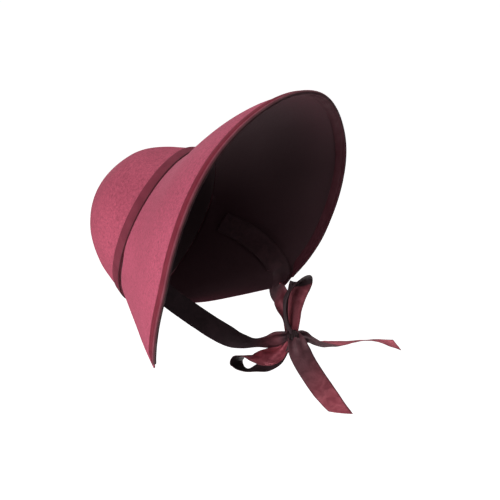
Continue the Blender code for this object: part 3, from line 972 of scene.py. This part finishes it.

# %% [markdown]
# ## The bow
# A bow has two loops and two tails. Each loop leaves the knot, turns back on itself at its end
# and comes back under. They are set station by station, because the way they fall is what makes
# this bow look tied and not moulded. The upper loop's satin face is marked dull up to and over the
# turn and a little dull on its way back, as painted shade.

# %% Loops
upper_marks = tucked(bow_stations(LOOP_LENGTH, (
    (-0.060, 0.140, 0.060, 0.30, 0.10, 0.95, 0.42),
    (-0.110, 0.300, 0.090, 0.12, 0.05, 0.99, 0.46),
    (-0.125, 0.500, 0.110, 0.10, 0.05, 0.99, 0.52),
    (-0.110, 0.680, 0.130, 0.14, 0.10, 0.98, 0.66),
    (-0.032, 0.830, 0.150, 0.28, 0.28, 0.90, 0.86),
    (0.060, 0.925, 0.132, 0.50, 0.48, 0.72, 0.98),
    (0.155, 0.975, 0.070, 0.60, 0.52, 0.62, 1.00),
    (0.150, 0.930, -0.005, 0.78, 0.44, 0.44, 1.00),
    (0.108, 0.850, -0.060, 0.90, 0.20, 0.26, 0.98),
    (0.062, 0.680, -0.080, 0.92, 0.15, 0.32, 0.90),
    (0.020, 0.480, -0.065, 0.91, 0.05, 0.40, 0.80),
    (0.005, 0.300, -0.030, 0.89, 0.00, 0.46, 0.74),
    (-0.010, 0.150, 0.000, 0.89, 0.00, 0.46, 0.56),
)), 0, -1)
# Painted shade: the upper loop's satin face is marked dull up to and over the turn, a little dull on the
# way back, and satin only where it goes into the knot.
upper_loop, upper_length = make_ribbon(
    "upper_loop_ribbon", upper_marks, 150, pleats=1.5, seed=2.3,
    dull_and_shade=lambda t, s: (0.30 * fade(t, 0.96, 0.86) + 0.70 * fade(t + 0.05 * s, 0.606, 0.592), 1.0))

lower_marks = tucked(bow_stations(LOOP_LENGTH, (
    (-0.112, -0.148, -0.020, 0.50, -0.66, 0.56, 0.42),
    (-0.240, -0.270, -0.020, 0.30, -0.76, 0.56, 0.80),
    (-0.400, -0.350, 0.050, 0.25, -0.76, 0.60, 0.98),
    (-0.545, -0.378, 0.110, 0.12, -0.64, 0.75, 1.00),
    (-0.700, -0.368, 0.130, 0.00, -0.36, 0.93, 1.00),
    (-0.830, -0.328, 0.100, -0.22, -0.05, 0.97, 1.00),
    (-0.925, -0.338, 0.045, -0.45, 0.08, 0.88, 1.00),
    (-0.972, -0.405, 0.000, -0.55, 0.05, 0.83, 1.00),
    (-0.972, -0.475, -0.020, -0.56, 0.00, 0.83, 1.00),
    (-0.915, -0.545, 0.000, -0.46, -0.06, 0.89, 1.00),
    (-0.800, -0.585, 0.030, -0.20, -0.12, 0.97, 1.00),
    (-0.665, -0.572, 0.025, -0.03, -0.26, 0.97, 1.00),
    (-0.490, -0.520, -0.020, 0.18, -0.50, 0.86, 1.00),
    (-0.325, -0.420, -0.075, 0.30, -0.65, 0.72, 0.86),
    (-0.195, -0.315, -0.095, 0.45, -0.62, 0.64, 0.65),
    (-0.122, -0.205, -0.085, 0.32, -0.60, 0.72, 0.44),
)), 0, -1)
lower_loop, lower_length = make_ribbon("lower_loop_ribbon", lower_marks, 160, pleats=1.5, seed=3.3)

# %% [markdown]
# ## The two tails
# The tails are the free ends of the ribbon. One hangs down, broad side out, to a slanting cut.
# The other lies nearly flat to the side and twists once, so its edge shows first and then its
# face. Both come out of the knot gathered, and open to full width within a finger. Their first
# lengths are marked dull as painted shade, so they come out of the knot dark.

# %% Tails
hanging_marks = tucked(bow_stations(HANGING_TAIL, (
    (0.030, 0.030, 0.060, 1.00, 0.10, 0.00, 0.55, 0.02),
    (0.040, -0.050, 0.072, 1.00, 0.10, 0.00, 0.78, 0.03),
    (0.075, -0.163, 0.080, 0.95, 0.25, 0.00, 0.98, 0.04),
    (0.138, -0.294, 0.040, 0.87, 0.45, 0.10, 1.00, 0.04),
    (0.240, -0.458, -0.040, 0.82, 0.55, 0.15, 1.00, 0.04),
    (0.338, -0.600, -0.120, 0.78, 0.60, 0.25, 1.00, 0.04),
    (0.440, -0.735, -0.210, 0.68, 0.54, 0.50, 1.00, 0.04),
    (0.548, -0.868, -0.300, 0.60, 0.45, 0.66, 1.00, 0.04),
)), 0)
# Painted shade: the hanging tail's satin face is marked dull where it leaves the knot, fading out along
# its length.
lower_tail, hanging_length = make_ribbon(
    "lower_tail_ribbon", hanging_marks, 100, cut=0.28, seed=4.3,
    dull_and_shade=lambda t, s: (0.86 * fade(t + 0.06 * s, 0.97, 0.25), 1.0))

side_marks = tucked(bow_stations(SIDE_TAIL, (
    (0.075, 0.014, -0.035, 0.20, -0.90, 0.35, 0.48),
    (0.122, 0.006, -0.065, 0.30, -0.75, 0.60, 0.75, -0.02),
    (0.185, -0.030, -0.100, 0.10, -0.40, 0.92, 0.92, -0.04),
    (0.260, -0.063, -0.150, 0.05, -0.23, 0.97, 1.00, -0.05),
    (0.340, -0.067, -0.195, 0.00, -0.22, 0.97, 1.00, -0.04),
    (0.410, -0.062, -0.240, 0.00, -0.20, 0.98, 1.00, -0.02),
    (0.520, -0.049, -0.310, 0.00, -0.10, 1.00, 1.00),
    (0.635, -0.039, -0.375, 0.00, -0.02, 1.00, 1.00),
    (0.745, -0.042, -0.435, 0.05, -0.05, 1.00, 1.00),
    (0.860, -0.064, -0.500, 0.06, -0.26, 0.97, 1.00),
    (0.955, -0.082, -0.550, 0.10, -0.40, 0.91, 1.00),
)), 0)
# Painted shade: both faces of the side tail are marked dull for about its first third.
side_tail, side_length = make_ribbon(
    "side_tail_ribbon", side_marks, 120, -1.0, cut=0.02, seed=5.3,
    dull_and_shade=lambda t, s: (0.92 * fade(t - 0.08 * s, 0.36, 0.27),) * 2)

# %% [markdown]
# ## The knot
# The knot is the ribbon's own turn round itself, so it is a small plump wrap with folds that run
# round it, from top to bottom across its front. It is a ring of stations round the side-to-side
# line, and a few cosine folds across its width make the gathers.

# %% Knot
KNOT_AROUND = 72
KNOT_ACROSS = 40
KNOT_LENGTH = KNOT_RADIUS * 0.88
KNOT_FLATNESS = 0.92
KNOT_PLUMP = 0.75
FOLD_HEIGHT = 0.07
FOLDS = 2.6
FOLD_SWAY = 0.7
SHADED = 0.8
bm = bmesh.new()
knot_marks = [bm.verts.layers.float.new(word) for word in ("along", "across", "inner")]


def knot_radius(polar, side, angle):
    """The wrap's radius at a place: plump in the middle, with folds that sway round it."""
    fold = FOLD_HEIGHT * math.cos(2 * math.pi * FOLDS * side + FOLD_SWAY * math.sin(angle + 0.5))
    return KNOT_RADIUS * (math.sin(polar) ** KNOT_PLUMP) * (0.95 + fold * math.sin(polar))


rings = []
for i in range(1, KNOT_ACROSS):
    polar = math.pi * i / KNOT_ACROSS
    side = -math.cos(polar)
    ring = []
    for k in range(KNOT_AROUND):
        angle = 2 * math.pi * k / KNOT_AROUND
        radius = knot_radius(polar, side, angle)
        v = bm.verts.new(KNOT + bow_lie(KNOT_LENGTH * side, radius * math.cos(angle),
                                        radius * KNOT_FLATNESS * math.sin(angle)))
        for layer, value in zip(knot_marks, (KNOT_RADIUS * angle, KNOT_RADIUS * side, SHADED)):
            v[layer] = value
        ring.append(v)
    rings.append(ring)
for low, high in zip(rings, rings[1:]):
    for k in range(KNOT_AROUND):
        n = (k + 1) % KNOT_AROUND
        bm.faces.new((low[k], low[n], high[n], high[k]))
for ring, side in ((rings[0], -1.0), (rings[-1], 1.0)):
    tip = bm.verts.new(KNOT + bow_lie(KNOT_LENGTH * side, 0.0, 0.0))
    for k in range(KNOT_AROUND):
        bm.faces.new((ring[k], ring[(k + 1) % KNOT_AROUND], tip))
knot_wrap = mesh_object("knot_wrap", bm, satin_in_shade)

# %% [markdown]
# ## Hand the pieces over
# Every piece rides on the hat's one body and stands for an imported solid. The crown is cut from a
# disc of felt, the brim from a fan, and the ribbons by the metre.

for piece, node, slot in (
        (crown_felt, "crown", "burgundy_felt"),
        (band_ribbon, "hat_band", "dark_burgundy_trim"),
        (brim_felt, "brim", "burgundy_felt"),
        (binding_cloth, "rim_binding", "dark_burgundy_trim"),
        (near_tie, "right_tie", "burgundy_satin"),
        (far_tie, "left_tie", "burgundy_satin"),
        (knot_wrap, "bow_knot", "burgundy_satin"),
        (upper_loop, "upper_loop", "burgundy_satin"),
        (lower_loop, "lower_loop", "burgundy_satin"),
        (lower_tail, "lower_tail", "burgundy_satin"),
        (side_tail, "side_tail", "burgundy_satin")):
    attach(piece, "root")
    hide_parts(node)

ribbon_total = near_length + far_length + upper_length + lower_length + hanging_length + side_length
print("ribbon in all", round(ribbon_total, 3), "m")

# %% [markdown]
# ## Floor and light
# The hat hangs where a standing wearer's head would carry it, so the pale floor is far below and no
# shadow reaches it in the view. A large soft light stands to the left, so that it washes the
# outside and leaves the hollow of the brim dark. One from the right and above and two from behind
# draw the edges. Three weak ones, from below, from the front and over the brow, open the shadows.

# %% Floor and light
FLOOR_DOWN = 1.6
FLOOR_RADIUS = 30.0
FLOOR_GREY = (0.9, 0.9, 0.9, 1.0)
FLOOR_GLOW = 0.85
SKY = (0.95, 0.96, 1.0, 1.0)
SKY_STRENGTH = 0.07
floor_finish = bpy.data.materials.new("pale_floor")
floor_finish.use_nodes = True
floor_shader = floor_finish.node_tree.nodes["Principled BSDF"]
floor_shader.inputs["Base Color"].default_value = FLOOR_GREY
floor_shader.inputs["Roughness"].default_value = 0.9
floor_shader.inputs["Emission Color"].default_value = (1.0, 1.0, 1.0, 1.0)
floor_shader.inputs["Emission Strength"].default_value = FLOOR_GLOW
bm = bmesh.new()
bmesh.ops.create_circle(bm, cap_ends=True, segments=96, radius=FLOOR_RADIUS)
floor = mesh_object("floor", bm, floor_finish)
floor.location.z = -FLOOR_DOWN
floor.visible_diffuse = False
floor.visible_glossy = False

world = bpy.data.worlds.new("studio")
bpy.context.scene.world = world
world.use_nodes = True
sky = world.node_tree.nodes["Background"]
sky.inputs["Color"].default_value = SKY
sky.inputs["Strength"].default_value = SKY_STRENGTH


def soft_light(name, direction, distance, size, power):
    lamp = bpy.data.lights.new(name, "AREA")
    lamp.shape = "DISK"
    lamp.size = size
    lamp.energy = power
    holder = bpy.data.objects.new(name, lamp)
    bpy.context.scene.collection.objects.link(holder)
    holder.location = direction.normalized() * distance
    holder.rotation_mode = "QUATERNION"
    holder.rotation_quaternion = direction.to_track_quat("Z", "Y")
    print(name, power, "W")


soft_light("left_key", Vector((-0.95, 0.12, 0.12)), 2.4, 1.8, 89.0)
soft_light("top_back", Vector((-0.25, 0.35, 0.90)), 2.4, 1.4, 5.0)
soft_light("low_back", Vector((-0.60, 0.50, -0.60)), 2.0, 1.4, 24.0)
soft_light("right_top", Vector((0.60, -0.05, 0.80)), 2.2, 0.9, 50.0)
soft_light("low_fill", Vector((0.35, -0.35, -0.87)), 1.4, 0.8, 13.0)
soft_light("front_fill", Vector((-0.25, -0.82, 0.45)), 2.6, 1.2, 1.2)
soft_light("brow_light", Vector((0.10, -0.50, 0.86)), 2.2, 0.6, 7.0)

# %% [markdown]
# ## Camera
# The camera stands 26 degrees up and 55 degrees round from straight ahead, far away behind a long
# lens, which keeps the near and the far side of the brim at nearly one scale.

# %% Camera and colour
TURN = math.radians(55.0)
HEIGHT = math.radians(26.0)
LENS = 800.0
SENSOR = 36.0
VIEW_WIDTH = 0.5656
FAR_ENOUGH = 100.0
AIM = Vector((0.0434, -0.0835, -0.0254))
camera_data = bpy.data.cameras.new("camera")
camera_data.lens = LENS
camera_data.sensor_width = SENSOR
camera = bpy.data.objects.new("camera", camera_data)
bpy.context.scene.collection.objects.link(camera)
back = Vector((-math.sin(TURN) * math.cos(HEIGHT), -math.cos(TURN) * math.cos(HEIGHT),
               math.sin(HEIGHT)))
distance = VIEW_WIDTH * LENS / SENSOR
camera.location = AIM + back * distance
camera.rotation_mode = "QUATERNION"
camera.rotation_quaternion = back.to_track_quat("Z", "Y")
camera_data.clip_end = FAR_ENOUGH
bpy.context.scene.camera = camera
bpy.context.scene.view_settings.view_transform = "Standard"
print("camera stands", round(distance, 2), "m away")
